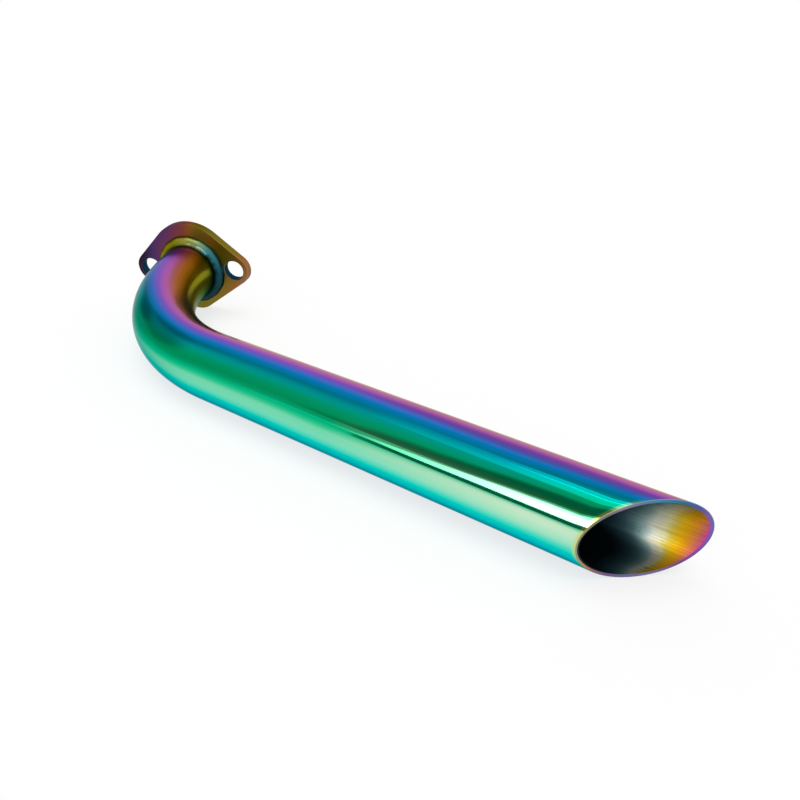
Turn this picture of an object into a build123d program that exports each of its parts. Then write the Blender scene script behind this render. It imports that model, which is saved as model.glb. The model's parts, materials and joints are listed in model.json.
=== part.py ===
from build123d import *

import os
from math import acos, asin, atan2, cos, degrees, hypot, radians, sin, tan

# A motorcycle exhaust header: one bent tube, slash cut at its outlet, slipped into a two-stud
# port flange and welded there inside and out. Lengths are in millimetres, angles in degrees.
# The origin is the centre of the flange's gasket face. +X runs along the straight leg to the
# outlet and +Z is up, with the header lying on a bench on its leg and the flange's lower tip.

# Tube
tube_outer = 25.4
tube_wall = 1.0
bend_radius = 88.9  # to the centreline
bend_angle = 66.3
leg_length = 162.7  # from the bend to where the slash crosses the centreline
slash_angle = 45.0  # between the cut and the tube

# Flange plate
flange_thickness = 4.0
stud_spacing = 42.8
stud_hole = 9.2
lug_land = 2.6  # plate left around a stud hole
crown_radius = 20.2
crown_land = 5.8  # plate above the outer weld
tip_radius = 9.5
tip_land = 4.0  # plate below the outer weld
edge_break = 0.5  # chamfer round the plate
hole_break = 0.3  # chamfer on the stud holes

# Joint between tube and flange
slip_fit = 0.1  # radial clearance of the tube in the flange
tube_setback = 1.6  # from the gasket face to the tube's end
weld_size = 3.7  # leg of the outer weld, up the tube and out across the flange
weld_to_bend = 0.4  # straight tube left between the outer weld and the bend
seal_size = 1.0  # leg of the seal weld

tube_radius = tube_outer / 2
bore_radius = tube_radius + slip_fit
weld_toe = tube_radius + weld_size
lug_radius = stud_hole / 2 + lug_land
crown_centre = weld_toe + crown_land - crown_radius
tip_reach = weld_toe + tip_land
tip_centre = tip_reach - tip_radius
stub_length = flange_thickness + weld_size + weld_to_bend

# Seen along the leg, the bench touches the tube and passes under the tip of the flange's front face.
bend_offset = bend_radius * (1 - cos(radians(bend_angle)))
flange_offset = bend_offset + (weld_size + weld_to_bend) * sin(radians(bend_angle))
bench_slope = asin(tube_radius / hypot(flange_offset, tip_reach))
rest_roll = degrees(atan2(tip_reach, flange_offset) - bench_slope)

bend_plane = Plane.XY.rotated((rest_roll, 0, 0))
port_axis = Vector(1, 0, 0).rotate(Axis.Z, -bend_angle).rotate(Axis.X, rest_roll)
stud_line = Vector(0, 1, 0).rotate(Axis.Z, -bend_angle).rotate(Axis.X, rest_roll)
gasket_plane = Plane(origin=(0, 0, 0), x_dir=stud_line, z_dir=port_axis)
weld_section = Plane(origin=(0, 0, 0), x_dir=stud_line, z_dir=stud_line.cross(port_axis))
port_centreline = Axis((0, 0, 0), port_axis)


def tangent_angle(centre_height: float, radius: float) -> float:
    """Angle from the stud line of the edge normal shared by a lug and an arc on the plate's midline."""
    run = stud_spacing / 2
    turn = acos((radius - lug_radius) / hypot(run, centre_height))
    return degrees(turn - atan2(centre_height, run))


crown_normal = tangent_angle(crown_centre, crown_radius)
tip_normal = tangent_angle(tip_centre, tip_radius)

# Port flange: a plate with a broad crown, two stud lugs and a narrower lower tip
with BuildPart() as flange:
    with BuildSketch(gasket_plane):
        with BuildLine():
            crown = CenterArc((0, crown_centre), crown_radius, crown_normal, 180 - 2 * crown_normal)
            tip = CenterArc((0, -tip_centre), tip_radius, 180 + tip_normal, 180 - 2 * tip_normal)
            near_lug = CenterArc((stud_spacing / 2, 0), lug_radius, -tip_normal, tip_normal + crown_normal)
            far_lug = CenterArc(
                (-stud_spacing / 2, 0), lug_radius, 180 - crown_normal, crown_normal + tip_normal
            )
            Line(near_lug @ 1, crown @ 0)
            Line(crown @ 1, far_lug @ 0)
            Line(far_lug @ 1, tip @ 0)
            Line(tip @ 1, near_lug @ 0)
        make_face()
    extrude(amount=flange_thickness)
    chamfer(flange.edges().filter_by(gasket_plane), length=edge_break)
    with BuildSketch(gasket_plane):
        Circle(bore_radius)
    extrude(amount=flange_thickness, mode=Mode.SUBTRACT)
    with BuildSketch(gasket_plane):
        with GridLocations(stud_spacing, 0, 2, 1):
            Circle(stud_hole / 2)
    extrude(amount=flange_thickness, mode=Mode.SUBTRACT)
    chamfer(flange.edges(Select.LAST).filter_by(gasket_plane), length=hole_break)

# Tube: swept from inside the flange round the bend, then cut on the slant at the outlet
with BuildPart() as header_tube:
    with BuildLine(bend_plane) as tube_path:
        port_end = tuple(bend_plane.to_local_coords(port_axis * tube_setback))
        stub = PolarLine(port_end, stub_length - tube_setback, angle=-bend_angle)
        bend = JernArc(stub @ 1, stub % 1, bend_radius, bend_angle)
        slash_centre = bend @ 1 + bend % 1 * leg_length
        Line(bend @ 1, slash_centre + bend % 1 * (tube_outer / tan(radians(slash_angle))))
    with BuildSketch(Plane(origin=stub @ 0, z_dir=stub % 0)):
        Circle(tube_radius)
        Circle(tube_radius - tube_wall, mode=Mode.SUBTRACT)
    sweep()
    slash_normal = bend % 1 * sin(radians(slash_angle)) - bend_plane.y_dir * cos(radians(slash_angle))
    split(bisect_by=Plane(origin=slash_centre, z_dir=slash_normal), keep=Keep.BOTTOM)

# Outer weld: a full bead round the tube on the flange's front face
with BuildPart() as outer_weld:
    with BuildSketch(weld_section):
        with BuildLine():
            root = (tube_radius, flange_thickness)
            bead = CenterArc(root, weld_size, start_angle=0, arc_size=90)
            Polyline(bead @ 1, root, bead @ 0)
        make_face()
    revolve(axis=port_centreline)

# Seal weld: a small bead that closes the tube's end to the flange bore, below the gasket face
with BuildPart() as seal_weld:
    with BuildSketch(weld_section):
        with BuildLine():
            seal_root = (bore_radius, tube_setback)
            seal_on_tube = (bore_radius - seal_size, tube_setback)
            seal_on_bore = (bore_radius, tube_setback - seal_size)
            Polyline(seal_root, seal_on_tube, seal_on_bore, close=True)
        make_face()
    revolve(axis=port_centreline)

flange.part.label = "flange"
header_tube.part.label = "header_tube"
outer_weld.part.label = "outer_weld"
seal_weld.part.label = "seal_weld"

os.makedirs("parts", exist_ok=True)
export_step(flange.part, "parts/flange.step")
export_step(header_tube.part, "parts/header_tube.step")
export_step(outer_weld.part, "parts/outer_weld.step")
export_step(seal_weld.part, "parts/seal_weld.step")
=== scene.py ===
"""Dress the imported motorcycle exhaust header: rainbow chrome on a bent tube, its flange and its welds."""

import json
import logging
from dataclasses import dataclass
from enum import Enum
from functools import partial
from typing import Any, Callable, ClassVar, Sequence

import bpy
import numpy as np
from bpy.types import Material, Node, NodeSocket, NodeTree, Object
from mathutils import Matrix, Vector


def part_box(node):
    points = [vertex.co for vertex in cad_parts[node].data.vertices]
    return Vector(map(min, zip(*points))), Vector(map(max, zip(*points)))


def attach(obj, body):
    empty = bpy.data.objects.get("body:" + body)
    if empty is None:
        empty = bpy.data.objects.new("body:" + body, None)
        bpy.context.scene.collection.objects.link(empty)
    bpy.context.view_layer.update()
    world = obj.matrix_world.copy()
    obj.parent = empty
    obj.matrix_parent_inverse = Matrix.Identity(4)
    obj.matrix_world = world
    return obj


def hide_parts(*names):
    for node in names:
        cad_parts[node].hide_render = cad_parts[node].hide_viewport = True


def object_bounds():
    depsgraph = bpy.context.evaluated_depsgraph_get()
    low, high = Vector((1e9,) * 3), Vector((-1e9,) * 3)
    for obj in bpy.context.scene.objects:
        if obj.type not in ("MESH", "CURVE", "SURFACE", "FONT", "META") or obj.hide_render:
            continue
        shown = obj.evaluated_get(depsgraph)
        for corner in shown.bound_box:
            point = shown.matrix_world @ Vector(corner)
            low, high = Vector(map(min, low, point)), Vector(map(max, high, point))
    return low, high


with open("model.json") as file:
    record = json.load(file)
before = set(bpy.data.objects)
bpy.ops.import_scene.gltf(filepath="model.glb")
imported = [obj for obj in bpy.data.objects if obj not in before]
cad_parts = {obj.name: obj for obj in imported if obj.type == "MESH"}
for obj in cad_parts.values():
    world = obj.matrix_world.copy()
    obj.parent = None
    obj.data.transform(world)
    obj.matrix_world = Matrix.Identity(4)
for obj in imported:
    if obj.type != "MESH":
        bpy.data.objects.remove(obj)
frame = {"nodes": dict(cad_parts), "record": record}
cad_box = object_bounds()

MM = 0.001
BODY = "root"
FILM_MAP = "film"

# Edges that turn more than this are drawn sharp.
CREASE = np.radians(50)

# The Mix node's sockets for colours, which share their names with those for numbers.
COLOUR_A, COLOUR_B, COLOUR_OUT = 6, 7, 2

log = logging.getLogger("exhaust_header")

# Rising places with the colour or the level at each: section angles in degrees, unless a note says otherwise.
Bands = tuple[tuple[float, str | float], ...]
Span = tuple[float, float]
Point = tuple[float, float, float]
Source = Node | NodeSocket
Adder = Callable[..., Node]


def linear(colour: str | float) -> tuple[float, float, float, float]:
    """Turn an sRGB hex colour such as "9fdfb8", or a plain grey level, into Blender's linear RGBA.

    Args:
        colour: six hex digits, or a level that is linear already.

    Returns:
        Red, green, blue and an alpha of 1, linear.
    """
    if not isinstance(colour, str):
        return (colour, colour, colour, 1.0)
    srgb = np.array([int(colour[i : i + 2], 16) for i in (0, 2, 4)]) / 255
    rgb = np.where(srgb <= 0.04045, srgb / 12.92, ((srgb + 0.055) / 1.055) ** 2.4)
    return (*rgb.tolist(), 1.0)


def add_node(
    tree: NodeTree,
    kind: str,
    inputs: dict[str | int, Any] | Sequence[Any] = (),
    bands: Bands = (),
    **settings: Any,
) -> Node:
    """Add one shader node, set it and link it.

    Args:
        tree: the node tree of a material or the world.
        kind: the node's type without its "ShaderNode" prefix.
        inputs: what goes into each input, in order or by name or number: a value, an output socket, or a
            node whose first output is meant.
        bands: for a ramp, its stops; the first place is 0 on it and the last is 1.
        settings: the node's own properties.

    Returns:
        The new node.
    """
    node = tree.nodes.new("ShaderNode" + kind)
    for name, value in settings.items():
        setattr(node, name, value)
    for key, value in inputs.items() if isinstance(inputs, dict) else enumerate(inputs):
        source = value.outputs[0] if isinstance(value, Node) else value
        if isinstance(source, NodeSocket):
            tree.links.new(source, node.inputs[key])
        else:
            node.inputs[key].default_value = source
    if bands:
        low, high = bands[0][0], bands[-1][0]
        ramp = node.color_ramp.elements
        for _ in bands[len(ramp) :]:
            ramp.new(1.0)
        for element, (place, colour) in zip(ramp, bands):
            element.position, element.color = (place - low) / (high - low), linear(colour)
    return node


def new_material(name: str) -> tuple[Material, Adder]:
    """Make an empty node material.

    Args:
        name: the material's name.

    Returns:
        The material, and the function that adds nodes to it.
    """
    material = bpy.data.materials.new(name)
    material.use_nodes = True
    material.node_tree.nodes.clear()
    return material, partial(add_node, material.node_tree)


class Wall(Enum):
    """The tube's walls, in the order of their material slots."""

    OUTSIDE = 0
    CUT = 1
    BORE = 2


@dataclass(frozen=True)
class HeaderLine:
    """The header's centre line: a stub off the port, one bend, and the straight leg.

    Lengths are metres and angles radians. A station is the distance along the line from the gasket face. A
    section angle is 0 on the outer side of the bend, a quarter turn on top and half a turn on the inner side.
    """

    port_axis: Vector
    leg_axis: Vector
    flange_side: Vector
    top: Vector
    bend_angle: float
    stub: float
    radius: float
    bend_radius: float = 88.9 * MM

    @classmethod
    def from_record(cls, record: dict[str, Any]) -> "HeaderLine":
        """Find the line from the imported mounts: the studs give the port's axis, the outlet pin the leg.

        Args:
            record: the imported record, with the port at its origin.

        Returns:
            The header's line.
        """
        mounts = {mount["name"]: mount for mount in record["mounts"]}
        port = -Vector(mounts["port_studs"]["axis"])
        leg = Vector(mounts["outlet_tube"]["axis"])
        top = port.cross(leg).normalized()
        side = top.cross(leg)
        angle = port.angle(leg)
        on_leg = Vector(mounts["outlet_tube"]["pos_m"])
        corner = on_leg.dot(side) / port.dot(side)
        stub = corner - cls.bend_radius * np.tan(angle / 2)
        radius = mounts["outlet_tube"]["dims"]["r_mm"] * MM
        return cls(port, leg, side, top, angle, stub, radius)

    @property
    def leg_start(self) -> float:
        """The station where the bend ends and the straight leg begins."""
        return self.stub + self.bend_radius * self.bend_angle

    def place(self, station: np.ndarray, radius: np.ndarray, angle: np.ndarray) -> np.ndarray:
        """Place points round the line, each by its station, distance from the line and section angle.

        The heading h runs from minus the bend angle to 0. The line is the stub along the port's axis, then
        the bend's arc about its centre at (sin h, -cos h) times the bend radius, then the leg. A point stands
        off the line by its radius times the outward normal's cosine share and the top's sine share.

        Args:
            station: stations of the points.
            radius: their distances from the line.
            angle: their section angles.

        Returns:
            The points' places, with a last axis of 3.
        """
        leg, side, top = (np.array(v) for v in (self.leg_axis, self.flange_side, self.top))
        turned = np.clip((station - self.stub) / self.bend_radius, 0, self.bend_angle)
        heading = turned - self.bend_angle
        sine, cosine = np.sin(heading), np.cos(heading)
        start = np.minimum(station, self.stub)
        beyond = np.maximum(station - self.leg_start, 0)
        sine_0, cosine_0 = np.sin(-self.bend_angle), np.cos(self.bend_angle)
        forward = start * cosine_0 + self.bend_radius * (sine - sine_0) + beyond
        sideways = start * sine_0 - self.bend_radius * (cosine - cosine_0)
        out = radius * np.cos(angle)
        forward, sideways = forward + out * sine, sideways - out * cosine
        rise = radius * np.sin(angle)
        return forward[..., None] * leg + sideways[..., None] * side + rise[..., None] * top


@dataclass(frozen=True)
class Band:
    """A run of rings in a closed skin, all in one finish. Each array is rings by columns.

    Attributes:
        station: each point's distance along the header's line.
        radius: its distance from the line.
        along: the film map's second coordinate, with the meaning that the finish gives it.
        slot: the material slot of the band's faces.
    """

    station: np.ndarray
    radius: np.ndarray
    along: np.ndarray
    slot: int = 0


def ring_angles(columns: int) -> np.ndarray:
    """Section angles once round from the underside, where the seam lies, with the first one repeated."""
    return np.linspace(-0.5 * np.pi, 1.5 * np.pi, columns + 1)


def skin(name: str, line: HeaderLine, bands: Sequence[Band]) -> Object:
    """Skin rings round the header's line into one closed mesh, which joins its last ring to its first.

    Ring i and ring i + 1 are joined by quads column by column, and the last column meets the first one. The
    film map's first coordinate is the turn round the section from the underside, from 0 to 1.

    Args:
        name: the piece's name.
        line: the header's line.
        bands: runs of rings; each band ends on the ring that the next one starts with.

    Returns:
        The piece, with its film map and its material slots still empty.
    """
    columns = bands[0].station.shape[1] - 1
    station = np.concatenate([band.station[:-1, :-1] for band in bands])
    radius = np.concatenate([band.radius[:-1, :-1] for band in bands])
    points = line.place(station, radius, ring_angles(columns)[:-1])
    rows = len(points)
    row, column = np.meshgrid(np.arange(rows), np.arange(columns), indexing="ij")
    corners = ((row, column), (row + 1, column), (row + 1, column + 1), (row, column + 1))
    faces = np.stack([i % rows * columns + j % columns for i, j in corners], axis=-1)
    turn = np.linspace(0, 1, columns + 1)
    film = [np.stack([turn + 0 * band.along, band.along], axis=-1) for band in bands]
    near, far = (np.concatenate([f[cut] for f in film]) for cut in (slice(None, -1), slice(1, None)))
    uv = np.stack([near[:, :-1], far[:, :-1], far[:, 1:], near[:, 1:]], axis=2)
    slots = np.concatenate([np.full(len(band.station) - 1, band.slot) for band in bands])

    mesh = bpy.data.meshes.new(name)
    mesh.from_pydata(points.reshape(-1, 3), [], faces.reshape(-1, 4))
    mesh.uv_layers.new(name=FILM_MAP).data.foreach_set("uv", uv.astype(np.float32).ravel())
    mesh.polygons.foreach_set("material_index", np.repeat(slots, columns).astype(np.int32))
    mesh.polygons.foreach_set("use_smooth", np.ones(len(mesh.polygons), dtype=bool))
    mesh.set_sharp_from_angle(angle=CREASE)
    mesh.update()
    piece = bpy.data.objects.new(name, mesh)
    bpy.context.scene.collection.objects.link(piece)
    return piece


@dataclass(frozen=True)
class MetalFinish:
    """What the header's metal finishes share: a gloss, a fine relief and the film map's coordinates.

    Attributes:
        relief: the height of its fine relief.
        edge_tint: its tint at a glancing angle.
        metallic: how much of it is bare metal; dull oxide is the rest.
    """

    name: str
    roughness: float
    relief: float
    edge_tint: str = "b4b4b4"
    metallic: float = 1.0

    def mix(self, add: Adder) -> None:
        """Add the finish's nodes, up to its surface."""
        raise NotImplementedError

    def material(self) -> Material:
        """Make the finish's material.

        Returns:
            The material with its nodes.
        """
        material, add = new_material(self.name)
        self.mix(add)
        return material

    def film(self, add: Adder) -> tuple[NodeSocket, NodeSocket, NodeSocket]:
        """Read the film map's turn round the section and its distance along it, and the place itself."""
        parts = add("SeparateXYZ", [add("UVMap", uv_map=FILM_MAP)]).outputs
        return parts["X"], parts["Y"], add("TexCoord").outputs["Object"]

    def surface(
        self,
        add: Adder,
        colour: Source,
        height: Source,
        glance: Source | None = None,
        roughness: Source | None = None,
    ) -> None:
        """Send bare metal of that colour to the surface, with its relief as bumps.

        Args:
            add: the function that adds nodes.
            colour: the metal's colour.
            height: its relief, as shares of the finish's own height.
            glance: its tint at a glancing angle, where that changes over the surface.
            roughness: its roughness, where that changes over the surface.
        """
        bumps = add("Bump", {"Height": height, "Distance": self.relief, "Strength": 1.0})
        metal = {
            "Base Color": colour,
            "Metallic": self.metallic,
            "Roughness": roughness or self.roughness,
            "Specular Tint": glance or linear(self.edge_tint),
            "Normal": bumps,
        }
        add("OutputMaterial", {"Surface": add("BsdfPrincipled", metal)})


@dataclass(frozen=True)
class RainbowChrome(MetalFinish):
    """Rainbow chrome: a thin interference film, vacuum-coated on mirror-polished steel tube.

    To the eye it is a clear mirror whose colour runs through the spectrum round the section, in bands along
    the tube. Its ramp holds painted reflections besides the film's hues: a bright mint band on the outer
    side, darker greens and teal above it, and a painted yellow highlight towards the inner side. A painted
    highlight makes the film paler on the front of the leg near the outlet, and it turns gold just at the cut.
    Its upper bands creep down the section towards the weld, where the polish goes dull, and fan up it at the
    outlet. Faint polishing lines run with the tube, and slow waves in its wall make the reflections wander.

    Attributes:
        girth: once round the tube.
        line_width, line_length: the polishing lines' size, coarser than real ones, which wouldn't show.
        wander_length, wander_turns: how often the bands wander, and how far round the section.
        creep_fade, painted_highlight_fade, weld_fade: where behind the cut each starts to change and where it
        ends.
        fan_reach, gold_reach: how far behind the cut each has gone.
    """

    name: str = "rainbow_chrome_mirror_polished"
    roughness: float = 0.07
    relief: float = 0.002 * MM
    girth: float = 79.8 * MM
    line_width: float = 0.7 * MM
    line_length: float = 40.0 * MM
    wave_length: float = 22.0 * MM
    wave_height: float = 0.28 * MM
    wander_length: float = 60.0 * MM
    wander_turns: float = 0.006
    creep_fade: Span = (205.0 * MM, 250.0 * MM)
    creep_turns: float = 0.045
    fan_reach: float = 32.0 * MM
    fan_turns: float = 0.034
    # The painted highlight's colour: a pale film painted where the streak and the bright room show near the
    # outlet.
    painted_highlight: str = "f4f6de"
    painted_highlight_fade: Span = (15.0 * MM, 85.0 * MM)
    gold: str = "cfcf6a"
    gold_reach: float = 1.2 * MM
    weld_roughness: float = 0.26
    weld_fade: Span = (120.0 * MM, 262.0 * MM)

    # The film's colour, with painted reflections in it: the bright mint band at about -7 to 17 degrees, the
    # darker greens from 35 to 50, the dark teal near 71 and a painted yellow highlight at 163. The cyans from
    # -37 to -20 are painted brighter against the floor's shade that they reflect.
    bands: Bands = (
        (-90, "008c8c"), (-55, "0a80a8"), (-37, "0eb0bc"), (-20, "06d2d4"), (-13, "04d6c8"), (-7, "42dac6"),
        (5, "7cddb8"), (17, "74d7ac"), (23, "2cc48e"), (28, "06b67e"), (35, "049462"), (41, "028a54"),
        (50, "029060"), (58, "009480"), (63, "008c8c"), (71, "006c80"), (76, "00749a"), (82, "0674b8"),
        (88, "4568c0"), (95, "7850bc"), (103, "a452b2"), (111, "b65c9c"), (118, "b86870"), (126, "c87040"),
        (136, "b4700e"), (150, "7c5c00"), (163, "988e1a"), (190, "6e8630"), (230, "1c8848"), (270, "008c8c"),
    )

    # The film's tint at a glance, where a bare metal would turn white.
    glance_bands: Bands = (
        (-90, "00a8b0"), (-20, "00b8c0"), (0, "70bcbc"), (22, "a4bcc4"), (60, "a4c8d4"),
        (84, "c8bcd8"), (100, "e4d4d8"), (130, "dcd6cc"), (180, "c0c0b0"), (270, "00a8b0"),
    )

    # The share of the painted highlight round the section near the outlet: pale film painted over the mint
    # band and in the streak's core.
    painted_highlight_bands: Bands = (
        (-90, 0.0), (-4, 0.0), (14, 0.45), (22, 0.58), (26, 0.0), (29, 0.0),
        (31, 0.2), (37, 0.2), (43, 0.04), (48, 0.0), (270, 0.0),
    )

    # The share of gold, at the cut.
    gold_bands: Bands = ((-90, 0.0), (-30, 0.1), (-8, 0.9), (46, 0.9), (66, 0.35), (90, 0.0), (270, 0.0))

    # The share of the creep and the fan that the film takes.
    slide_bands: Bands = (
        (-90, 0.0), (40, 0.0), (56, 1.0), (72, 1.0),
        (84, 0.7), (92, 0.4), (102, 0.22), (200, 0.22), (270, 0.0),
    )

    def mix(self, add: Adder) -> None:
        """Mix the film: a ramp round the section, with a painted highlight in front of the outlet, and gold
        at the cut.

        Args:
            add: the function that adds nodes.
        """
        turn, behind_cut, place = self.film(add)

        slow = add("TexNoise", {"Vector": place, "Scale": 1 / self.wander_length, "Detail": 1.0})
        wander = add("MapRange", [slow, 0.0, 1.0, -self.wander_turns, self.wander_turns])
        by_weld = [behind_cut, *self.creep_fade, 0.0, self.creep_turns]
        creep = add("MapRange", by_weld, interpolation_type="SMOOTHSTEP")
        fan = add("MapRange", [behind_cut, 0.0, self.fan_reach, -self.fan_turns, 0.0])
        both = add("Math", [creep, fan], operation="ADD")
        slide = add("ValToRGB", [turn], self.slide_bands)
        slid = add("Math", [both, slide, turn], operation="MULTIPLY_ADD")
        moved = add("Math", [slid, wander], operation="ADD")
        phase = add("Math", [moved], operation="FRACT")
        film = add("ValToRGB", [phase], self.bands)
        glance = add("ValToRGB", [phase], self.glance_bands)

        # Painted highlight: a paler film on the front of the leg near the outlet.
        front = add("ValToRGB", [turn], self.painted_highlight_bands)
        near = add("MapRange", [behind_cut, *self.painted_highlight_fade, 1.0, 0.0])
        share = add("Math", [front, near], operation="MULTIPLY")
        paler = add("Mix", {"Factor": share, COLOUR_A: film, COLOUR_B: linear(self.painted_highlight)}, data_type="RGBA")
        golden = add("ValToRGB", [turn], self.gold_bands)
        at_cut = add("MapRange", [behind_cut, 0.0, self.gold_reach, 1.0, 0.0])
        gilt = add("Math", [golden, at_cut], operation="MULTIPLY")
        gilding = {"Factor": gilt, COLOUR_A: paler.outputs[COLOUR_OUT], COLOUR_B: linear(self.gold)}
        colour = add("Mix", gilding, data_type="RGBA")

        stretch = (self.girth / self.line_width, 1 / self.line_length, 1.0)
        lines = add("Mapping", {"Vector": add("UVMap", uv_map=FILM_MAP), "Scale": stretch})
        polish = add("TexNoise", {"Vector": lines, "Scale": 1.0, "Detail": 2.0})
        waves = add("TexNoise", {"Vector": place, "Scale": 1 / self.wave_length, "Detail": 0.0})
        height = add("Math", [waves, self.wave_height / self.relief, polish], operation="MULTIPLY_ADD")
        dulled = add("MapRange", [behind_cut, *self.weld_fade, self.roughness, self.weld_roughness])
        self.surface(add, colour.outputs[COLOUR_OUT], height, glance, dulled)


@dataclass(frozen=True)
class FilmedCut(MetalFinish):
    """The sawn end of the tube, filmed with the rest: a thin satin edge, blue on top and violet below.

    To the eye it is a narrow ring of soft colour with a paler line on its outer corner, yellow in front, and
    it runs into the bore's magenta at its tip.

    Attributes:
        grain: its sawn grain, coarser than the real one, which wouldn't show.
        corner_fade, corner_share: where across the edge the corner's colour fades, and its share before.
        lip, lip_fade: the inner lip's magenta, and where across the edge it starts and is full.
    """

    name: str = "rainbow_chrome_sawn_edge"
    roughness: float = 0.3
    relief: float = 0.01 * MM
    grain: float = 0.4 * MM
    corner_fade: Span = (0.1, 0.35)
    corner_share: float = 0.9
    lip: str = "b044a0"
    lip_fade: Span = (0.3, 0.9)

    # The edge's colour.
    bands: Bands = (
        (-90, "7a74a2"), (-58, "785e8c"), (-40, "a06c6c"), (-27, "b89260"), (-8, "9a9878"), (30, "8c8a68"),
        (54, "76727a"), (68, "8a8094"), (84, "647ca0"), (104, "3884a8"), (122, "347292"), (138, "5058a4"),
        (156, "7c62a0"), (176, "5a70b2"), (200, "5068b4"), (214, "764cae"), (234, "784e84"), (252, "82688c"),
        (270, "7a74a2"),
    )

    # The outer corner's colour.
    corner_bands: Bands = (
        (-90, "8a94b4"), (-48, "7c7e9c"), (-20, "8e9470"), (24, "b0b272"), (62, "d4e8a0"), (80, "94bc8c"),
        (100, "80b4b0"), (118, "80a4aa"), (150, "8880ac"), (178, "4a7cb4"), (206, "4a78b8"), (222, "7a6aac"),
        (270, "8a94b4"),
    )

    # How far the inner lip takes the bore's magenta.
    lip_bands: Bands = ((-90, 0.0), (156, 0.0), (178, 0.9), (214, 0.9), (236, 0.0), (270, 0.0))

    def mix(self, add: Adder) -> None:
        """Mix the edge: a ramp round the ring, then the outer corner's colour and the inner lip's over it.

        Args:
            add: the function that adds nodes.
        """
        turn, across, place = self.film(add)
        ring = add("ValToRGB", [turn], self.bands)
        corner = add("ValToRGB", [turn], self.corner_bands)
        on_corner = add("MapRange", [across, *self.corner_fade, self.corner_share, 0.0])
        edge = add("Mix", {"Factor": on_corner, COLOUR_A: ring, COLOUR_B: corner}, data_type="RGBA")
        inward = add("MapRange", [across, *self.lip_fade])
        magenta = add("ValToRGB", [turn], self.lip_bands)
        on_lip = add("Math", [magenta, inward], operation="MULTIPLY")
        lipped = {"Factor": on_lip, COLOUR_A: edge.outputs[COLOUR_OUT], COLOUR_B: linear(self.lip)}
        colour = add("Mix", lipped, data_type="RGBA")
        grain = add("TexNoise", {"Vector": place, "Scale": 1 / self.grain})
        self.surface(add, colour.outputs[COLOUR_OUT], grain)


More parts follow.
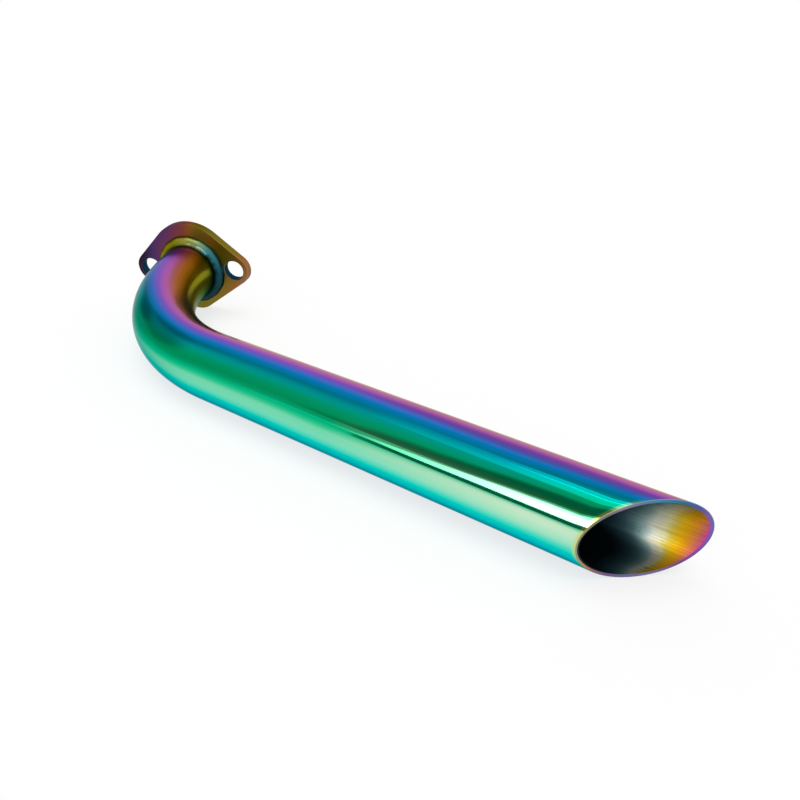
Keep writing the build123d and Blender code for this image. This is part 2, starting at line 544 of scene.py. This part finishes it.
@dataclass(frozen=True)
class BoreSteel(MetalFinish):
    """The drawn inside of the tube: steel with a little dull oxide, filmed at the mouth and darkened further
    in by painted shade.

    To the eye it goes from magenta at the cut through orange and gold, and a pale cream that is partly a
    painted highlight, to grey steel with drawing lines along the tube and a few dark specks, and then to
    black: painted shade where no light comes back.

    Attributes:
        line_fade, line_tones: the noise's levels at the dullest and the brightest line, and their tones.
        ragged: how far the lines fray the film's bands.
        speck_fade, speck_share: the noise's levels where a speck starts and is full, and its share then.
    """

    name: str = "drawn_steel_bore_film_at_mouth"
    roughness: float = 0.38
    relief: float = 0.012 * MM
    metallic: float = 0.75
    line_width: float = 0.35 * MM
    line_length: float = 12.0 * MM
    line_fade: Span = (0.35, 0.65)
    line_tones: Span = (0.84, 1.08)
    ragged: float = 0.6 * MM
    speck: str = "0a0f10"
    speck_size: float = 2.2 * MM
    speck_fade: Span = (0.71, 0.77)
    speck_share: float = 0.7

    # The wall's colour by millimetres behind the cut. The pale cream at 9.5 to 12 mm is partly a painted
    # highlight, and the darkening from about 16 mm on is painted shade deep in the bore.
    bands: Bands = (
        (0.0, "9460b8"), (1.0, "ce4c9c"), (2.0, "d06a62"), (3.4, "da8830"), (4.6, "de9c08"),
        (6.2, "deb006"), (7.8, "d4bc44"), (9.5, "dcd6a4"), (12.0, "d8dccc"), (14.0, "a0bcb8"),
        (16.5, "749c9e"), (19.0, "547e88"), (23.0, "3a6472"), (28.0, "284654"), (32.0, "1a2e38"),
    )

    # How many millimetres into the bands the film starts.
    starts_mm: tuple[Span, ...] = (
        (-90, 7.0), (-80, 12.0), (-50, 32.0), (90, 32.0), (124, 21.0), (138, 11.0), (150, 6.2), (160, 3.3),
        (174, 1.3), (200, 0.9), (211, 1.5), (222, 1.7), (240, 3.0), (252, 4.0), (270, 7.0),
    )

    # How fast the bands pass: 1 is their own width, 2 half of it.
    paces: Bands = (
        (-90, 2.2), (0, 1.0), (150, 1.0), (174, 0.85), (202, 0.85), (213, 0.95),
        (222, 0.95), (230, 1.3), (240, 1.75), (252, 2.2), (270, 2.2),
    )

    # Painted shade round the bore: how much of the colour is left by section angle, darker at the bottom and
    # on the top, full on the outer side near -60 degrees and on the inner side from 178 to 222.
    painted_shade_bands: Bands = (
        (-90, 0.64), (-60, 1.0), (90, 0.7), (150, 0.78), (178, 1.0), (222, 0.96), (238, 0.68), (270, 0.64),
    )

    def mix(self, add: Adder) -> None:
        """Mix the bore: a ramp by depth behind the cut, ragged along the drawing lines, with specks over it
        and painted shade round the section.

        The film starts further on in the bands above and in front, and passes faster on the lower wall.

        Args:
            add: the function that adds nodes.
        """
        turn, behind_cut, place = self.film(add)
        drawn = add("Mapping", {"Vector": place, "Scale": (self.line_width / self.line_length, 1.0, 1.0)})
        lines = add("TexNoise", {"Vector": drawn, "Scale": 1 / self.line_width, "Detail": 3.0})

        ragged = add("MapRange", [lines, 0.0, 1.0, -self.ragged, self.ragged])
        depth = add("Math", [behind_cut, ragged], operation="ADD")
        starts = add("ValToRGB", [turn], tuple((angle, mm * MM) for angle, mm in self.starts_mm))
        pace = add("ValToRGB", [turn], self.paces)
        passed = add("Math", [depth, pace, starts], operation="MULTIPLY_ADD")
        share = add("MapRange", [passed, 0.0, self.bands[-1][0] * MM])
        film = add("ValToRGB", [share], self.bands)

        spots = add("TexNoise", {"Vector": place, "Scale": 1 / self.speck_size, "Detail": 2.0})
        specks = add("MapRange", [spots, *self.speck_fade, 0.0, self.speck_share])
        specked = {"Factor": specks, COLOUR_A: film, COLOUR_B: linear(self.speck)}
        wall = add("Mix", specked, data_type="RGBA").outputs[COLOUR_OUT]
        tone = add("MapRange", [lines, *self.line_fade, *self.line_tones])
        # Painted shade round the section, darker at the bottom and on the top.
        painted_shade = add("ValToRGB", [turn], self.painted_shade_bands)
        left = add("Math", [tone, painted_shade], operation="MULTIPLY")
        colour = add("VectorMath", {0: wall, "Scale": left}, operation="SCALE")
        self.surface(add, colour, lines)


@dataclass(frozen=True, kw_only=True)
class SatinPlate(MetalFinish):
    """Rainbow chrome on laser-cut plate that was tumbled, not polished.

    To the eye it is a satin metal whose film goes from purple on one lug over red-brown to olive and bronze
    on the other, cloudy at the scale of the plate, finely grained, and dark blue inside the stud holes. A
    painted dark reflection blackens the far end of the purple lug.

    Attributes:
        line: the header's line, which gives the plate's axes.
        reach_mm: from the port's centre to a stud hole's.
        hole_mm: the stud holes' radius.
        grain: its tumbled grain, coarser than the real one, which wouldn't show.
        cloud, drift_mm: the clouds' size, and how far they move the film.
        slant: how far the film's bands lean off the stud line's normal.
        hole_wall, rim_fade_mm: the stud holes' colour, and how far outside their walls it fades.
    """

    line: HeaderLine
    reach_mm: float
    hole_mm: float
    name: str = "rainbow_chrome_tumbled_plate"
    roughness: float = 0.36
    relief: float = 0.012 * MM
    grain: float = 0.5 * MM
    cloud: float = 14.0 * MM
    drift_mm: float = 5.0
    slant: float = -0.5
    hole_wall: str = "10384a"
    rim_fade_mm: Span = (0.05, 0.3)

    # The plate's colour by millimetres along the slanted stud line. Its near-black end at -30 mm, on the far
    # end of the purple lug, is a painted dark reflection.
    bands: Bands = (
        (-30, "201c1c"), (-24, "45305e"), (-20, "5a325c"), (-16, "6e3448"), (-12, "7c3e34"), (-8, "865220"),
        (-3, "726018"), (4, "7a7024"), (14, "827428"), (20, "8c702a"), (24, "9c6a32"), (30, "a4745c"),
    )

    def mix(self, add: Adder) -> None:
        """Mix the plate: a ramp slanted over the plate and clouded, with the stud holes' walls set apart.

        Args:
            add: the function that adds nodes.
        """
        place = add("TexCoord").outputs["Object"]
        top, port = self.line.top, self.line.port_axis
        turn = Matrix((top.cross(port), top, port)).to_euler()
        plate = add("Mapping", {"Vector": place, "Rotation": turn, "Scale": (1 / MM,) * 3})
        parts = add("SeparateXYZ", [plate]).outputs

        clouds = add("TexNoise", {"Vector": place, "Scale": 1 / self.cloud, "Detail": 2.0})
        drift = add("MapRange", [clouds, 0.0, 1.0, -self.drift_mm, self.drift_mm])
        slanted = add("Math", [parts["Y"], self.slant, parts["X"]], operation="MULTIPLY_ADD")
        moved = add("Math", [slanted, drift], operation="ADD")
        share = add("MapRange", [moved, self.bands[0][0], self.bands[-1][0]])
        film = add("ValToRGB", [share], self.bands)

        reach = add("Math", [parts["X"]], operation="ABSOLUTE")
        from_stud = add("Math", [reach, self.reach_mm], operation="SUBTRACT")
        flat = add("CombineXYZ", [from_stud, parts["Y"]])
        distance = add("VectorMath", [flat], operation="LENGTH").outputs["Value"]
        rim = (self.hole_mm + outside for outside in self.rim_fade_mm)
        in_hole = add("MapRange", [distance, *rim, 1.0, 0.0])
        holed = {"Factor": in_hole, COLOUR_A: film, COLOUR_B: linear(self.hole_wall)}
        colour = add("Mix", holed, data_type="RGBA")
        grain = add("TexNoise", {"Vector": place, "Scale": 1 / self.grain, "Detail": 2.0})
        self.surface(add, colour.outputs[COLOUR_OUT], grain)


@dataclass(frozen=True)
class WeldSkin(MetalFinish):
    """A weld bead's skin: glossy metal that froze in soft ripples, filmed or tinted by heat.

    To the eye it is a soft gloss that changes colour round the ring, with painted shade that darkens it at
    the toe on the tube.

    Attributes:
        bands: the bead's colour round the ring.
        painted_toe_shade: painted shade at its toes, as the colour left by the share of the way over towards
            the tube.
    """

    grain: float = 0.8 * MM
    bands: Bands = ()
    # Painted shade in the creases at both toes, deepest where the bead meets the tube.
    painted_toe_shade: Bands = ((0.0, 0.63), (0.2, 1.0), (0.7, 0.87), (1.0, 0.065))

    def mix(self, add: Adder) -> None:
        """Mix the bead: a ramp round the ring, with painted shade towards its toes.

        Args:
            add: the function that adds nodes.
        """
        turn, over, place = self.film(add)
        ring = add("ValToRGB", [turn], self.bands)
        painted_toe_shade = add("ValToRGB", [over], self.painted_toe_shade)
        darkened = {"Factor": 1.0, COLOUR_A: ring, COLOUR_B: painted_toe_shade}
        colour = add("Mix", darkened, data_type="RGBA", blend_type="MULTIPLY")
        grain = add("TexNoise", {"Vector": place, "Scale": 1 / self.grain, "Detail": 2.0})
        self.surface(add, colour.outputs[COLOUR_OUT], grain)


@dataclass(frozen=True)
class SkinnedPiece:
    """A piece that is skinned round the header's line and stands for a CAD node.

    Attributes:
        name: the piece's name.
        node: the CAD node that it stands for.
        slot: the record's material slot, which is not used.
        finishes: its finishes, in the order of its faces' slots.
    """

    name: ClassVar[str]
    node: ClassVar[str]
    slot: ClassVar[str]
    finishes: ClassVar[tuple[MetalFinish, ...]]
    line: HeaderLine

    def bands(self) -> list[Band]:
        """Lay out the runs of rings that close the skin."""
        raise NotImplementedError

    def build(self) -> Object:
        """Skin the piece."""
        return skin(self.name, self.line, self.bands())

    def dress(self, piece: Object) -> None:
        """Dress the piece and fix it in its CAD node's place.

        Args:
            piece: the piece, at the origin.
        """
        for finish in self.finishes:
            piece.data.materials.append(finish.material())
        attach(piece, BODY)
        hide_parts(self.node)


@dataclass(frozen=True)
class HeaderTube(SkinnedPiece):
    """The bent tube, open from the port to its slash-cut outlet.

    Attributes:
        setback: from the gasket face to its port end.
        slash_angle: between the cut's plane and the leg.
        outer_round, inner_round: how far the cut's outer and inner corners are rounded.
        lip_power: how much more a sharp lip is filed back than a blunt one.
        corner_share: the outer corner's share of the way across the cut edge.
    """

    name = "rainbow_tube"
    node = "header_tube"
    slot = "rainbow_tube"
    finishes = (RainbowChrome(), FilmedCut(), BoreSteel())
    wall: float = 1.0 * MM
    setback: float = 1.6 * MM
    slash_angle: float = np.radians(45.0)
    outer_round: float = 0.08 * MM
    inner_round: float = 0.0115 * MM
    lip_power: int = 5
    corner_share: float = 0.2
    columns: int = 192
    bend_rings: int = 72
    leg_rings: int = 40
    edge_rings: int = 6

    def cut_station(self, radius: float, angle: np.ndarray) -> np.ndarray:
        """Stations of the slash cut: where it crosses the line, less the reach to the bend's outer side.

        Args:
            radius: distance from the line.
            angle: section angles.

        Returns:
            The stations where the cut plane meets that radius.
        """
        zero = np.zeros(())
        leg_start = self.line.place(np.array(self.line.leg_start), zero, zero) @ np.array(self.line.leg_axis)
        longest = self.line.leg_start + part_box("header_tube")[1].dot(self.line.leg_axis) - leg_start
        middle = longest - self.line.radius / np.tan(self.slash_angle)
        return middle - radius * np.cos(angle) / np.tan(self.slash_angle)

    def cut_edge(self, angle: np.ndarray) -> tuple[tuple[np.ndarray, np.ndarray], ...]:
        """Round the cut's two corners, each by a quadratic curve with the sharp corner as its middle point.

        The outer curve leaves a wall at the tangent length of a round of fixed radius, which is the radius
        over the tangent of half the corner's angle: long on a sharp corner and short on a blunt one. The
        inner corner's angle is the rest of half a turn, so its tangent is the inverse of that one. Its curve
        divides by a power of it, as a sharp lip is filed back much further than a blunt one.

        Args:
            angle: section angles.

        Returns:
            Stations and radii of the outer corner's rings, then of the inner corner's.
        """
        outer, inner = self.line.radius, self.line.radius - self.wall
        edge, lip = self.cut_station(outer, angle), self.cut_station(inner, angle)
        width = np.hypot(lip - edge, self.wall)
        step, drop = (lip - edge) / width, -self.wall / width
        tangent = np.tan(np.arccos(-step) / 2)
        leave, arrive = self.outer_round / tangent, self.inner_round * tangent**self.lip_power
        share = np.linspace(0, 1, self.edge_rings)[:, None]
        first, last = (1 - share) ** 2, share**2
        outer_corner = edge - first * leave + last * leave * step, outer + last * leave * drop
        inner_corner = lip - first * arrive * step - last * arrive, inner - first * arrive * drop
        return outer_corner, inner_corner

    def bands(self) -> list[Band]:
        """Lay out the skin: outside to the cut, over the cut's edge, back along the bore, round the port end.

        Returns:
            The bands of the tube's closed skin. Outside and in the bore the film map gives the distance
            behind the cut in metres, and on the cut edge the share of the way across it.
        """
        angle = ring_angles(self.columns)
        outer, inner = self.line.radius, self.line.radius - self.wall
        (edge_station, edge_radius), (lip_station, lip_radius) = self.cut_edge(angle)
        leg_start = self.line.leg_start
        bend = np.linspace(self.setback, leg_start, self.bend_rings)[:, None] + 0 * angle
        leg = np.linspace(0, 1, self.leg_rings)[1:, None]
        outside = np.concatenate([bend, leg_start + leg * (edge_station[0] - leg_start)])
        wall = np.concatenate([bend, leg_start + leg * (lip_station[-1] - leg_start)])[::-1]
        bore = np.concatenate([lip_station, wall[1:]])
        bore_radius = np.concatenate([lip_radius, np.full_like(wall[1:], inner)])
        face = np.concatenate([edge_station, lip_station[:1]])
        face_radius = np.concatenate([edge_radius, lip_radius[:1]])
        across = np.append(np.linspace(0, self.corner_share, self.edge_rings), 1.0)[:, None] + 0 * angle
        end = np.full((2, len(angle)), self.setback)
        return [
            Band(outside, np.full_like(outside, outer), outside[-1] - outside, Wall.OUTSIDE.value),
            Band(face, face_radius, across, Wall.CUT.value),
            Band(bore, bore_radius, np.abs(wall[0] - bore), Wall.BORE.value),
            Band(end, np.array([[inner], [outer]]) + 0 * end, wall[0] - end, Wall.BORE.value),
        ]


@dataclass(frozen=True)
class WeldBead(SkinnedPiece):
    """What the two welds share: a section closed by its root, and ripples at an even pitch round the ring.

    Attributes:
        size: the bead's leg.
        ripple, ripple_pitch: how deep its ripples are, and how far apart.
        columns, rings: the divisions of its skin, round the ring and over the bead.
    """

    size: float
    ripple: float
    ripple_pitch: float
    rings: int
    columns: int = 288

    def ripples(self, radius: float) -> int:
        """Count the ripples that fit round a ring of that radius."""
        return round(2 * np.pi * radius / self.ripple_pitch)

    def close(self, station: np.ndarray, radius: np.ndarray, over: np.ndarray, root: Span) -> list[Band]:
        """Close the bead's section, from the end of its face back by its root to the start.

        Args:
            station: stations of the face's rings.
            radius: their distances from the line.
            over: their share of the way over the bead, for the film map.
            root: the root's station and its distance from the line.

        Returns:
            The bead's one closed band.
        """
        back = np.stack([np.full_like(station[0], root[0]), station[0]])
        station = np.concatenate([station, back])[::-1]
        radius = np.concatenate([radius, np.full_like(back, root[1])])[::-1]
        along = np.concatenate([over, over[[-1, 0]]])[::-1] + 0 * back[0]
        return [Band(station, radius, along)]


@dataclass(frozen=True)
class OuterWeld(WeldBead):
    """The bead that joins the tube to the flange's front face.

    Attributes:
        plate: the flange's thickness, which the bead stands on.
        lump, lump_waves: how deep its slow lumps are, and the two counts round the ring that make them.
    """

    name = "outer_weld_bead"
    node = "outer_weld"
    slot = "rainbow_weld"
    finishes = (
        WeldSkin(
            "rainbow_chrome_over_weld",
            roughness=0.33,
            relief=0.004 * MM,
            bands=(
                (-90, "2a4a50"), (-40, "3d5a4c"), (-5, "6a6a30"), (30, "8a8018"), (70, "7c780c"),
                (95, "98983c"), (118, "86a070"), (138, "407e86"), (160, "2e6874"), (182, "1e4854"),
                (215, "1f3f45"), (270, "2a4a50"),
            ),
        ),
    )
    size: float = 3.7 * MM
    ripple: float = 0.03 * MM
    ripple_pitch: float = 2.4 * MM
    rings: int = 25
    plate: float = 4.0 * MM
    lump: float = 0.32 * MM
    lump_waves: tuple[int, int] = (5, 11)

    def bands(self) -> list[Band]:
        """Carry a quarter round about the tube, with its size rippled and lumped round the ring.

        The bead's size is its nominal size less a raised cosine at the ripple's pitch and a slow lump, which
        is a cosine times a sine. Its face runs from the toe on the tube over the quarter round to the toe on
        the plate.

        Returns:
            The bead's one closed band, with the share of the way over it from plate to tube.
        """
        angle = ring_angles(self.columns)
        ripple = self.ripple * (1 - np.cos(self.ripples(self.line.radius + self.size) * angle)) / 2
        few, many = self.lump_waves
        lump = self.lump * (1 - np.cos(few * angle) * np.sin(many * angle)) / 2
        size = self.size - ripple - lump
        over = np.linspace(1, 0, self.rings)[:, None]
        station = self.plate + size * np.sin(over * np.pi / 2)
        radius = self.line.radius + size * np.cos(over * np.pi / 2)
        return self.close(station, radius, over, root=(self.plate, self.line.radius))


@dataclass(frozen=True)
class SealWeld(WeldBead):
    """The small bead that closes the tube's end to the flange's bore on the gasket side.

    Attributes:
        root: from the gasket face to the tube's end.
        slip_fit: the gap between the tube and the flange's bore.
    """

    name = "seal_weld_bead"
    node = "seal_weld"
    slot = "bare_weld"
    finishes = (
        WeldSkin(
            "heat_tinted_steel_weld",
            roughness=0.35,
            relief=0.01 * MM,
            bands=(
                (-90, "77726c"), (-30, "8a7a5c"), (40, "6f6a70"), (110, "86745a"), (180, "6a6f78"),
                (230, "857a66"), (270, "77726c"),
            ),
        ),
    )
    size: float = 1.0 * MM
    ripple: float = 0.12 * MM
    ripple_pitch: float = 1.4 * MM
    rings: int = 9
    root: float = 1.6 * MM
    slip_fit: float = 0.1 * MM

    def bands(self) -> list[Band]:
        """Carry a fillet about the tube's end: a straight face from bore to tube, dished between the ripples.

        Each dish is a parabola over the face, deepest in its middle and nothing at its ends.

        Returns:
            The bead's one closed band, with the share of the way over it from bore to tube.
        """
        angle = ring_angles(self.columns)
        bore = self.line.radius + self.slip_fit
        dish = self.ripple * (1 - np.abs(np.cos(self.ripples(bore) * angle / 2)))
        over = np.linspace(0, 1, self.rings)[:, None]
        hollow = 4 * over * (1 - over) * dish
        station = self.root - self.size * (1 - over) + hollow
        radius = bore - self.size * over + hollow
        return self.close(station, radius, over, root=(self.root, bore))


@dataclass(frozen=True)
class PortFlange:
    """The two-stud flange plate, which keeps its CAD solid."""

    line: HeaderLine

    def build(self) -> Object:
        """Take the plate as the CAD gives it."""
        return frame["nodes"]["flange"]

    def dress(self, piece: Object) -> None:
        """Dress the plate in its satin film, with the stud holes placed by the record's bolt pattern.

        Args:
            piece: the CAD plate.
        """
        studs = next(m for m in frame["record"]["mounts"] if m["name"] == "port_studs")["dims"]
        finish = SatinPlate(line=self.line, reach_mm=studs["pcd_mm"] / 2, hole_mm=studs["hole_r_mm"])
        material = finish.material()
        for slot in piece.material_slots:
            slot.material = material


@dataclass(frozen=True)
class DimCorner:
    """A dim part of the room, which shows only in the part's gloss. Angles are in degrees.

    Attributes:
        azimuth: its direction round the part, from +X.
        elevation: its direction above the floor.
        core: how far from its middle it is fully dim.
        edge: how far from its middle the room is white again.
        level: its brightness; the room's own is 1.
    """

    azimuth: float
    elevation: float
    core: float
    edge: float
    level: float

    def direction(self) -> Vector:
        """The unit vector towards its middle."""
        rise = np.radians(self.elevation)
        return Matrix.Rotation(np.radians(self.azimuth), 3, "Z") @ Vector((np.cos(rise), 0.0, np.sin(rise)))


@dataclass(frozen=True)
class GlossCard:
    """A flat card that shows only in the part's gloss, with a brightness that changes in one direction.

    Attributes:
        name: its name.
        corners: its corners in order.
        fade: where along the slope its brightness starts to change and ends.
        levels: its brightness there; the room's own is 1.
        slope: the direction that its brightness changes along.
    """

    name: str
    corners: tuple[Point, ...]
    fade: Span
    levels: Span
    slope: Point = (1.0, 0.0, 0.0)

    def material(self) -> Material:
        """Mix the card's glow.

        Returns:
            The glow, which is white.
        """
        material, add = new_material(self.name)
        place = add("TexCoord").outputs["Object"]
        along = add("VectorMath", [place, self.slope], operation="DOT_PRODUCT").outputs["Value"]
        level = add("MapRange", [along, *self.fade, *self.levels], interpolation_type="SMOOTHSTEP")
        add("OutputMaterial", {"Surface": add("Emission", {"Strength": level})})
        return material


@dataclass(frozen=True)
class Studio:
    """A white room with a floor, cards that streak and shade the leg, and the photograph's camera.

    Attributes:
        eye, forward, up: the camera's place and axes.
        image_px, focal_px: the image's width and the focal length in pixels.
        shadow_share: how much of the floor's white is left to the lamp and the room.
        room_level: the room's light on the part; what the lamp gives makes it up to 1.
        lamp_angle: how wide the lamp is as the part sees it.
    """

    eye: Point = (0.2916, -0.2198, 0.1071)
    forward: Point = (-0.5420, 0.7101, -0.4494)
    up: Point = (-0.2868, 0.3464, 0.8932)
    image_px: float = 800.0
    focal_px: float = 759.0
    sensor_mm: float = 36.0
    near_clip: float = 0.01
    floor_size: float = 30.0
    shadow_share: float = 0.25
    room_level: float = 0.6
    lamp_angle: float = np.radians(50)
    cards: tuple[GlossCard, ...] = (
        GlossCard(
            "strip_panel",
            corners=(
                (0.185, -0.3, 0.036), (-0.120, -0.3, 0.028), (-0.120, -0.3, 0.035),
                (-0.006, -0.3, 0.044), (0.064, -0.3, 0.083), (0.185, -0.3, 0.166),
            ),
            fade=(-0.040, 0.170),
            levels=(1.35, 6.0),
        ),
        GlossCard(
            "strip_panel_rim",
            corners=((0.185, -0.3, 0.166), (0.064, -0.3, 0.083), (0.064, -0.3, 0.100), (0.185, -0.3, 0.204)),
            fade=(0.064, 0.185),
            levels=(0.9, 1.5),
        ),
        GlossCard(
            "strip_panel_foot",
            corners=(
                (0.185, -0.3, -0.006), (-0.005, -0.3, -0.006), (-0.005, -0.3, 0.031), (0.185, -0.3, 0.036),
            ),
            fade=(0.0, 0.04),
            levels=(0.4, 0.17),
        ),
        GlossCard(
            "camera_flag",
            corners=(
                (0.185, -0.3, 0.204), (0.064, -0.3, 0.100), (-0.006, -0.3, 0.092),
                (-0.120, -0.3, 0.108), (-0.120, -0.3, 0.600), (0.185, -0.3, 0.720),
            ),
            fade=(0.10, 0.33),
            levels=(0.34, 1.0),
            slope=(-2.2, 0.0, 1.0),
        ),
        GlossCard(
            "overhead_softbox",
            corners=((0.15, -0.32, 0.8), (0.15, 0.02, 0.8), (-0.50, 0.02, 0.8), (-0.50, -0.32, 0.8)),
            fade=(-0.50, 0.05),
            levels=(1.0, 2.1),
        ),
        GlossCard(
            "softbox_near_tube",
            corners=(
                (0.15, -0.122, 0.79), (0.15, -0.100, 0.79), (-0.20, -0.100, 0.79), (-0.20, -0.122, 0.79),
            ),
            fade=(-0.20, 0.0),
            levels=(1.4, 4.6),
        ),
        GlossCard(
            "softbox_far_tube",
            corners=((0.15, 0.000, 0.79), (0.15, 0.022, 0.79), (-0.16, 0.022, 0.79), (-0.16, 0.000, 0.79)),
            fade=(-0.16, 0.0),
            levels=(1.0, 3.2),
        ),
    )
    dim_corners: tuple[DimCorner, ...] = (
        DimCorner(azimuth=174, elevation=15, core=3, edge=12, level=0.22),
        DimCorner(azimuth=189, elevation=22, core=6, edge=17, level=0.5),
        DimCorner(azimuth=178, elevation=31, core=3, edge=14, level=0.55),
        DimCorner(azimuth=114, elevation=34, core=4, edge=22, level=0.68),
    )

    def place_camera(self) -> None:
        """Set the camera by its eye, its forward axis and its upward axis."""
        camera = bpy.data.cameras.new("camera")
        camera.sensor_width = self.sensor_mm
        camera.lens = self.sensor_mm * self.focal_px / self.image_px
        camera.clip_start = self.near_clip
        back = -Vector(self.forward).normalized()
        right = Vector(self.up).cross(back).normalized()
        turn = Matrix((right, back.cross(right), back)).transposed()
        rig = bpy.data.objects.new("camera", camera)
        rig.matrix_world = Matrix.LocRotScale(Vector(self.eye), turn, None)
        bpy.context.scene.collection.objects.link(rig)
        bpy.context.scene.camera = rig

    def stage_card(self, name: str, corners: Sequence[Point], material: Material) -> Object:
        """Put up a flat piece of the studio.

        Args:
            name: its name.
            corners: its corners in order.
            material: its material.

        Returns:
            The staged object.
        """
        mesh = bpy.data.meshes.new(name)
        mesh.from_pydata(corners, [], [range(len(corners))])
        mesh.materials.append(material)
        card = bpy.data.objects.new(name, mesh)
        bpy.context.scene.collection.objects.link(card)
        return card

    def seen_directly(self, add: Adder) -> Node:
        """Tell rays that show the background, by camera, gloss or glass, from the light on the part.

        Args:
            add: the function that adds nodes to the tree that asks.

        Returns:
            A node that gives 1 for such rays and 0 for others.
        """
        path = add("LightPath").outputs
        gloss = add("Math", [path["Is Camera Ray"], path["Is Glossy Ray"]], operation="MAXIMUM")
        return add("Math", [gloss, path["Is Transmission Ray"]], operation="MAXIMUM")

    def lay_floor(self) -> None:
        """Lay a white floor: its own light fills it almost to white, and the rest keeps the shadow."""
        material, add = new_material("white_paper_sweep")
        paper = add("BsdfDiffuse", {"Color": linear(self.shadow_share)})
        fill = add("Math", [self.seen_directly(add), 1 - self.shadow_share], operation="MULTIPLY")
        glow = add("Emission", {"Strength": fill})
        add("OutputMaterial", {"Surface": add("AddShader", [paper, glow])})
        half, height = self.floor_size / 2, cad_box[0].z
        corners = [(-half, -half, height), (half, -half, height), (half, half, height), (-half, half, height)]
        self.stage_card("floor", corners, material)

    def hang_cards(self) -> None:
        """Hang the cards, out of sight of the camera and of the light on the floor."""
        for card in self.cards:
            hung = self.stage_card(card.name, card.corners, card.material())
            hung.visible_camera = hung.visible_diffuse = hung.visible_shadow = False

    def fill_room(self) -> None:
        """Fill the room with white, at its own level on the part, and dim its corners in the gloss alone."""
        world = bpy.data.worlds.new("white_room")
        world.use_nodes = True
        world.node_tree.nodes.clear()
        add = partial(add_node, world.node_tree)
        level = add("MapRange", [self.seen_directly(add), 0.0, 1.0, self.room_level, 1.0])
        towards = add("TexCoord").outputs["Generated"]
        dimmest: Source | float = 0.0
        for corner in self.dim_corners:
            inside = add("VectorMath", [towards, corner.direction()], operation="DOT_PRODUCT")
            ends = np.cos(np.radians((corner.edge, corner.core)))
            fade = [inside.outputs["Value"], *ends, 0.0, 1 - corner.level]
            dim = add("MapRange", fade, interpolation_type="SMOOTHSTEP")
            dimmest = add("Math", [dimmest, dim], operation="MAXIMUM")
        gloss = add("LightPath").outputs["Is Glossy Ray"]
        seen = add("Math", [dimmest, gloss], operation="MULTIPLY")
        left = add("Math", [level, seen], operation="SUBTRACT")
        room = add("Background", {"Color": linear("ffffff"), "Strength": left})
        add("OutputWorld", {"Surface": room})
        bpy.context.scene.world = world

    def hang_lamp(self) -> None:
        """Hang a soft overhead lamp, which gives the floor its shadow and doesn't show in the gloss."""
        lamp = bpy.data.lights.new("overhead_lamp", "SUN")
        lamp.angle = self.lamp_angle
        lamp.energy = np.pi * (1 - self.room_level)
        rig = bpy.data.objects.new("overhead_lamp", lamp)
        rig.visible_glossy = False
        bpy.context.scene.collection.objects.link(rig)

    def build(self) -> None:
        """Set up the camera, the floor, the cards and the light."""
        bpy.context.scene.view_settings.view_transform = "Standard"
        self.place_camera()
        self.lay_floor()
        self.hang_cards()
        self.fill_room()
        self.hang_lamp()


def main() -> None:
    """Build and dress the header's pieces in order, then the studio, and log each piece's faces and
    materials.
    """
    logging.basicConfig(level=logging.INFO, format="%(name)s %(message)s")
    line = HeaderLine.from_record(frame["record"])
    for assembly in (HeaderTube(line), OuterWeld(line), SealWeld(line), PortFlange(line)):
        piece = assembly.build()
        assembly.dress(piece)
        mesh = piece.data
        log.info("%s: %d faces, %d materials", piece.name, len(mesh.polygons), len(mesh.materials))
    Studio().build()
    log.info("studio: camera, floor, cards and lamp")


if __name__ == "__main__":
    main()
